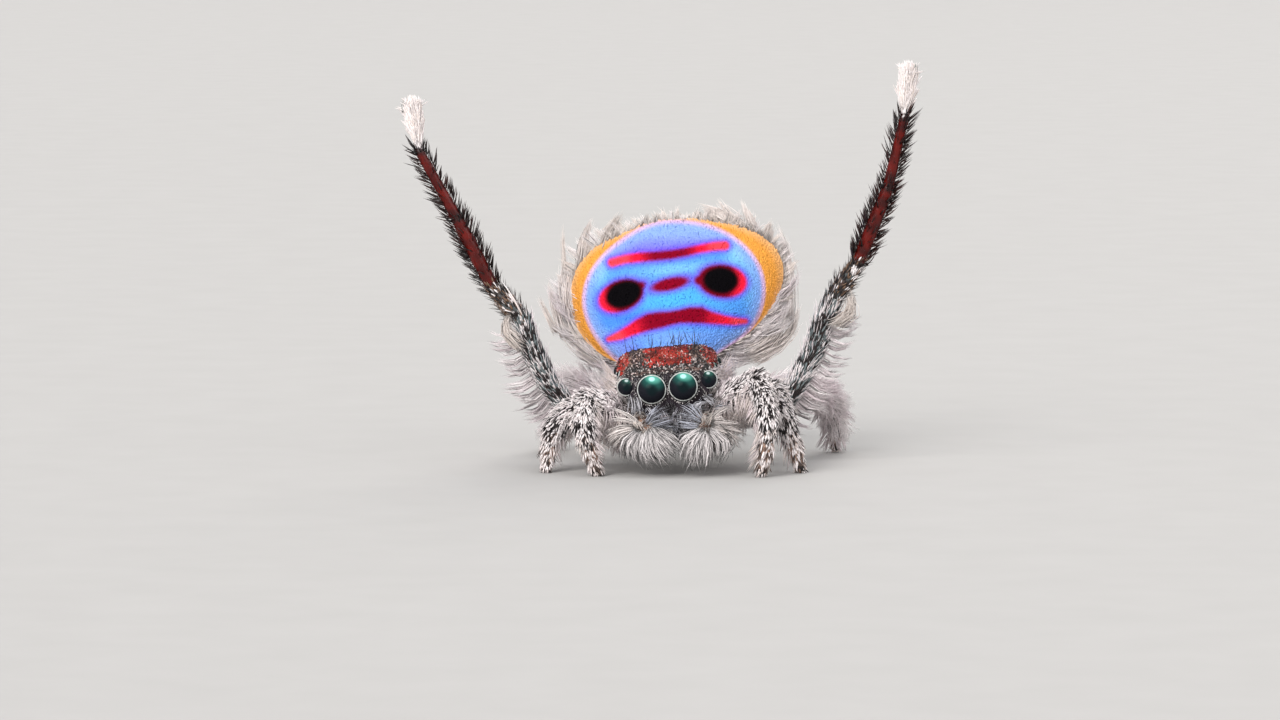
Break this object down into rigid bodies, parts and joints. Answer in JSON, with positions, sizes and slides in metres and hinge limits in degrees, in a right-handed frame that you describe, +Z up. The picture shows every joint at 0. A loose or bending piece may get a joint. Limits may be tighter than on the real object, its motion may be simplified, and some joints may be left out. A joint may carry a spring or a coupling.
{
  "type": "peacock spider",
  "caption": "Life-size still model of a male jumping spider in display: raised third legs, upright coloured fan, large front eyes.",
  "frame": {"origin": "on the floor, below the middle of the whole object's box", "axes": "+Z up; the spider looks along -Y, and +X is its own left"},
  "size_m": [0.0074, 0.0042, 0.0057],
  "materials": {
    "body_hide": "dark grey-brown skin under grey, white and red scales",
    "eye_lens": "very glossy dark green lens",
    "fan_scales": "fine blue and red scales with an orange rim",
    "belly_hair": "dense soft cream-grey hair",
    "pale_hair": "long cream-white hair",
    "leg_scales": "white and grey-brown scales in bands",
    "raised_leg": "glossy red-brown with black bristles and a white brush"
  },
  "bodies": {
    "root": {"abdomen": "belly_hair", "cephalothorax": "body_hide", "chelicera_left": "body_hide", "chelicera_right": "body_hide", "eye_back_middle_left": "eye_lens", "eye_back_middle_right": "eye_lens", "eye_back_side_left": "eye_lens", "eye_back_side_right": "eye_lens", "eye_front_middle_left": "eye_lens", "eye_front_middle_right": "eye_lens", "eye_front_side_left": "eye_lens", "eye_front_side_right": "eye_lens", "fan_flap_left": "fan_scales", "fan_flap_right": "fan_scales", "fan_plate": "fan_scales", "leg_1_left_femur": "leg_scales", "leg_1_left_metatarsus": "leg_scales", "leg_1_left_tarsus": "leg_scales", "leg_1_left_tibia": "leg_scales", "leg_1_right_femur": "leg_scales", "leg_1_right_metatarsus": "leg_scales", "leg_1_right_tarsus": "leg_scales", "leg_1_right_tibia": "leg_scales", "leg_2_left_femur": "leg_scales", "leg_2_left_metatarsus": "leg_scales", "leg_2_left_tarsus": "leg_scales", "leg_2_left_tibia": "leg_scales", "leg_2_right_femur": "leg_scales", "leg_2_right_metatarsus": "leg_scales", "leg_2_right_tarsus": "leg_scales", "leg_2_right_tibia": "leg_scales", "leg_3_left_femur": "leg_scales", "leg_3_left_metatarsus": "raised_leg", "leg_3_left_tarsus": "raised_leg", "leg_3_left_tibia": "raised_leg", "leg_3_right_femur": "leg_scales", "leg_3_right_metatarsus": "raised_leg", "leg_3_right_tarsus": "raised_leg", "leg_3_right_tibia": "raised_leg", "leg_4_left_femur": "leg_scales", "leg_4_left_metatarsus": "leg_scales", "leg_4_left_tarsus": "leg_scales", "leg_4_left_tibia": "leg_scales", "leg_4_right_femur": "leg_scales", "leg_4_right_metatarsus": "leg_scales", "leg_4_right_tarsus": "leg_scales", "leg_4_right_tibia": "leg_scales", "palp_left": "pale_hair", "palp_right": "pale_hair", "pedicel": "body_hide", "spinnerets": "belly_hair"}
  },
  "joints": []
}
